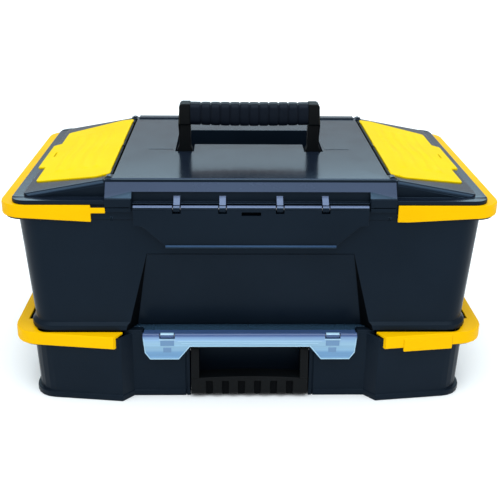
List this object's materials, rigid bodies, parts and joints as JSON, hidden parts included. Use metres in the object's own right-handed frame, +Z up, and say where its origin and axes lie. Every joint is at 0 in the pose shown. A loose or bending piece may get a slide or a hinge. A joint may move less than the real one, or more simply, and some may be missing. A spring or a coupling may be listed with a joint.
{
  "type": "stacking tool box",
  "caption": "Black and yellow tool box that clicks onto a shallow parts organizer, with a carry handle, a wide front latch and lidded parts wells.",
  "frame": {"origin": "middle of the footprint on the floor", "axes": "+X to the right along the length, +Y towards the back (the hinges), +Z up; the front latches face -Y"},
  "size_m": [0.505, 0.326, 0.296],
  "materials": {
    "black_plastic": "fine-textured injection-moulded polypropylene, blue-black",
    "yellow_plastic": "satin golden yellow",
    "cover_yellow": "satin lemon yellow",
    "clear_plastic": "transparent with a light blue tint",
    "grip_plastic": "matte black",
    "grip_rubber": "matte black, ribbed",
    "steel_pin": "plain wire"
  },
  "bodies": {
    "organizer": {"organizer_tub": "black_plastic", "organizer_latch_lugs": "black_plastic", "long_dividers": "black_plastic", "cross_dividers": "black_plastic", "organizer_hinge_pins": "steel_pin", "organizer_handle_pins": "steel_pin"},
    "organizer_lid_body": {"organizer_lid": "clear_plastic", "organizer_latch_pins": "steel_pin"},
    "organizer_latch_body": {"organizer_latch": "clear_plastic"},
    "organizer_handle_body": {"organizer_handle": "grip_plastic"},
    "left_click_latch_body": {"left_click_latch": "yellow_plastic"},
    "right_click_latch_body": {"right_click_latch": "yellow_plastic"},
    "toolbox": {"toolbox_tub": "black_plastic", "front_catch": "black_plastic", "left_rim_guard": "yellow_plastic", "right_rim_guard": "yellow_plastic", "lid_hinge_pins": "steel_pin"},
    "tote_tray_body": {"tote_tray": "black_plastic"},
    "toolbox_lid_body": {"toolbox_lid": "black_plastic", "front_latch_pin": "steel_pin", "left_cover_pin": "grip_plastic", "right_cover_pin": "grip_plastic", "lid_handle_pins": "steel_pin"},
    "front_latch_body": {"front_latch": "black_plastic"},
    "lid_handle": {"lid_handle_frame": "grip_plastic", "lid_handle_grip": "grip_rubber"},
    "left_cover": {"left_parts_cover": "cover_yellow"},
    "right_cover": {"right_parts_cover": "cover_yellow"}
  },
  "joints": [
    {"name": "toolbox_lift", "type": "slide", "parent": "organizer", "child": "toolbox", "axis": [0, 0, 1], "range_m": [0, 0.6]},
    {"name": "organizer_lid_hinge", "type": "hinge", "parent": "organizer", "child": "organizer_lid_body", "pos_m": [0, 0.151, 0.0745], "axis": [-1, 0, 0], "range_deg": [0, 100]},
    {"name": "organizer_latch_hinge", "type": "hinge", "parent": "organizer_lid_body", "child": "organizer_latch_body", "pos_m": [0, -0.1552, 0.0772], "axis": [-1, 0, 0], "range_deg": [0, 95]},
    {"name": "organizer_handle_hinge", "type": "hinge", "parent": "organizer", "child": "organizer_handle_body", "pos_m": [0, -0.142, 0.0545], "axis": [-1, 0, 0], "range_deg": [0, 90]},
    {"name": "left_click_latch_slide", "type": "slide", "parent": "organizer", "child": "left_click_latch_body", "axis": [-1, 0, 0], "range_m": [0, 0.01], "stiffness_N_per_m": 600},
    {"name": "right_click_latch_slide", "type": "slide", "parent": "organizer", "child": "right_click_latch_body", "axis": [1, 0, 0], "range_m": [0, 0.01], "stiffness_N_per_m": 600},
    {"name": "toolbox_lid_hinge", "type": "hinge", "parent": "toolbox", "child": "toolbox_lid_body", "pos_m": [0, 0.156, 0.2199], "axis": [-1, 0, 0], "range_deg": [0, 100]},
    {"name": "tray_lift", "type": "slide", "parent": "toolbox", "child": "tote_tray_body", "axis": [0, 0, 1], "range_m": [0, 0.12]},
    {"name": "lid_handle_hinge", "type": "hinge", "parent": "toolbox_lid_body", "child": "lid_handle", "pos_m": [0, -0.024, 0.232], "axis": [-1, 0, 0], "range_deg": [0, 90]},
    {"name": "front_latch_hinge", "type": "hinge", "parent": "toolbox_lid_body", "child": "front_latch_body", "pos_m": [0, -0.153, 0.2166], "axis": [-1, 0, 0], "range_deg": [0, 100]},
    {"name": "left_cover_hinge", "type": "hinge", "parent": "toolbox_lid_body", "child": "left_cover", "pos_m": [-0.14267, 0, 0.24063], "axis": [0, 1, 0], "range_deg": [0, 105]},
    {"name": "right_cover_hinge", "type": "hinge", "parent": "toolbox_lid_body", "child": "right_cover", "pos_m": [0.14267, 0, 0.24063], "axis": [0, -1, 0], "range_deg": [0, 105]}
  ],
  "couplings": [
    {"joint": "organizer_lid_hinge", "follows": "toolbox_lift", "rad_per_m": 2.9},
    {"joint": "tray_lift", "follows": "toolbox_lid_hinge", "m_per_rad": 0.06}
  ]
}
